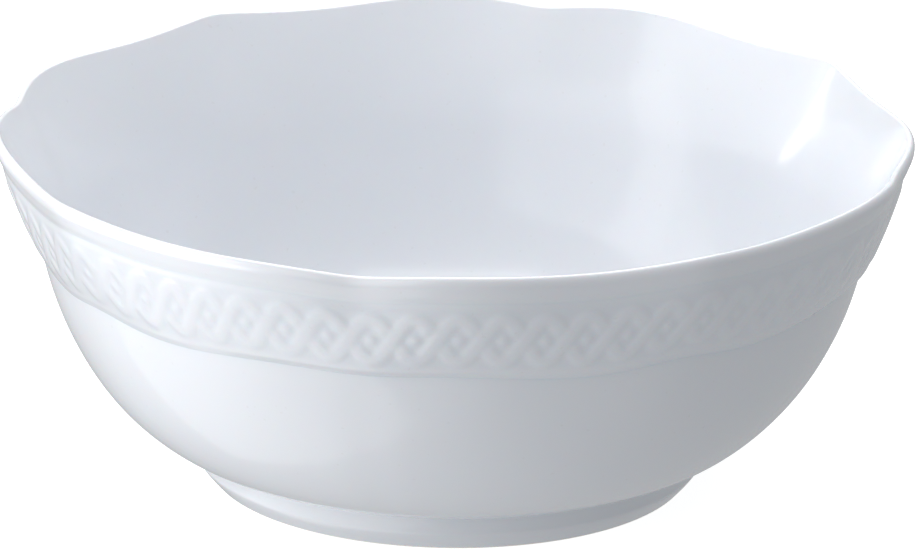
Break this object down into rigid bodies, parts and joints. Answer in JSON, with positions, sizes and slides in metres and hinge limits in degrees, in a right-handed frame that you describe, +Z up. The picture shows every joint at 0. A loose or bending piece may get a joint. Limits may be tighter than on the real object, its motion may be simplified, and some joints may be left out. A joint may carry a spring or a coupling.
{
  "type": "porcelain serving bowl",
  "caption": "Round porcelain serving bowl with a bracket-shaped rim of eight panels, a raised relief band below a plain border, and a turned foot ring.",
  "frame": {"origin": "middle of the foot ring, on the surface that the bowl stands on", "axes": "+Z up along the bowl's axis; -Y is the front, with a notch of the rim 11.8 degrees to the left of it"},
  "size_m": [0.2206, 0.2206, 0.0854],
  "materials": {
    "porcelain_glaze": "clear glossy glaze on white porcelain, faintly blue",
    "relief_glaze": "clear glossy glaze, slightly thicker and bluer in the hollows of the relief",
    "foot_glaze": "glossy glaze on the sides, bare matt porcelain on the rim that touches the table"
  },
  "bodies": {
    "root": {"bowl_body": "porcelain_glaze", "relief_band": "relief_glaze", "foot_ring": "foot_glaze"}
  },
  "joints": []
}
